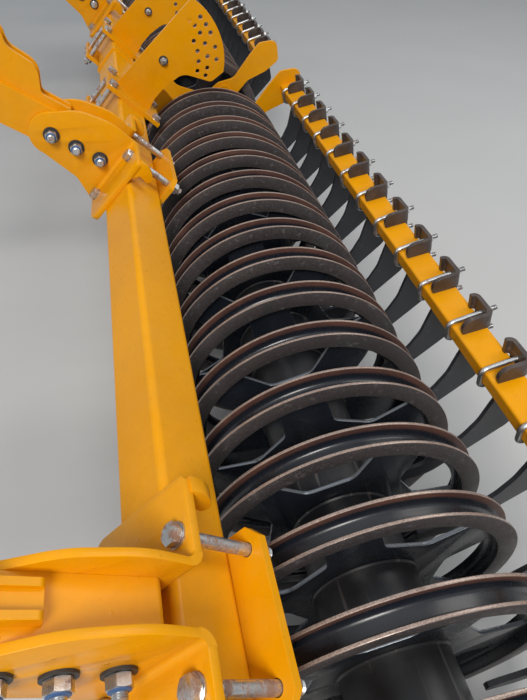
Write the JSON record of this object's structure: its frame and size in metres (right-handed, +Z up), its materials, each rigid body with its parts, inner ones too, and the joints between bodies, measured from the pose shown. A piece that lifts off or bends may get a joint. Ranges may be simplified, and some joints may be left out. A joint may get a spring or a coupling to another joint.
{
  "type": "ring packer roller unit of a disc harrow",
  "caption": "Rear packer roller of a compact disc harrow: U-shaped rings on two shafts under a square beam, with arms and a row of scraper blades.",
  "frame": {"origin": "on the common axis of the four arm eyes, in the middle of the machine's width", "axes": "+X to the machine's rear, +Y to its right along the roller, +Z up as it stands at work height"},
  "size_m": [1.6364, 5.144, 1.0771],
  "materials": {
    "yellow_paint": "glossy orange yellow paint",
    "roller_paint": "blue black paint, worn to rust on the rims",
    "dark_casting": "dark painted casting",
    "blade_steel": "dark spring steel",
    "bare_steel": "brown oiled steel",
    "zinc": "galvanised"
  },
  "bodies": {
    "frame": {"beam": "yellow_paint", "beam_caps": "yellow_paint", "left_outer_arm": "yellow_paint", "left_inner_arm": "yellow_paint", "right_inner_arm": "yellow_paint", "right_outer_arm": "yellow_paint", "left_outer_arm_bracket": "yellow_paint", "left_inner_arm_bracket": "yellow_paint", "right_inner_arm_bracket": "yellow_paint", "right_outer_arm_bracket": "yellow_paint", "arm_counter_plates": "yellow_paint", "left_adjuster_plate": "yellow_paint", "right_adjuster_plate": "yellow_paint", "adjuster_counter_plates": "yellow_paint", "left_outer_hanger": "yellow_paint", "left_inner_hanger": "yellow_paint", "right_inner_hanger": "yellow_paint", "right_outer_hanger": "yellow_paint", "left_outer_bearing": "dark_casting", "left_inner_bearing": "dark_casting", "right_inner_bearing": "dark_casting", "right_outer_bearing": "dark_casting", "left_scraper_bar": "yellow_paint", "right_scraper_bar": "yellow_paint", "left_outer_scraper_bracket": "yellow_paint", "left_inner_scraper_bracket": "yellow_paint", "right_inner_scraper_bracket": "yellow_paint", "right_outer_scraper_bracket": "yellow_paint", "left_holders": "bare_steel", "right_holders": "bare_steel", "left_blades": "blade_steel", "right_blades": "blade_steel", "left_clips": "zinc", "right_clips": "zinc"},
    "left_roller": {"left_shaft_tube": "roller_paint", "left_stub_axles": "dark_casting", "left_rings": "roller_paint"},
    "right_roller": {"right_shaft_tube": "roller_paint", "right_stub_axles": "dark_casting", "right_rings": "roller_paint"}
  },
  "joints": [
    {"name": "left_spin", "type": "hinge", "parent": "frame", "child": "left_roller", "pos_m": [1.15, -1.36, -0.685], "axis": [0, 1, 0], "continuous": true},
    {"name": "right_spin", "type": "hinge", "parent": "frame", "child": "right_roller", "pos_m": [1.15, 1.36, -0.685], "axis": [0, 1, 0], "continuous": true}
  ]
}
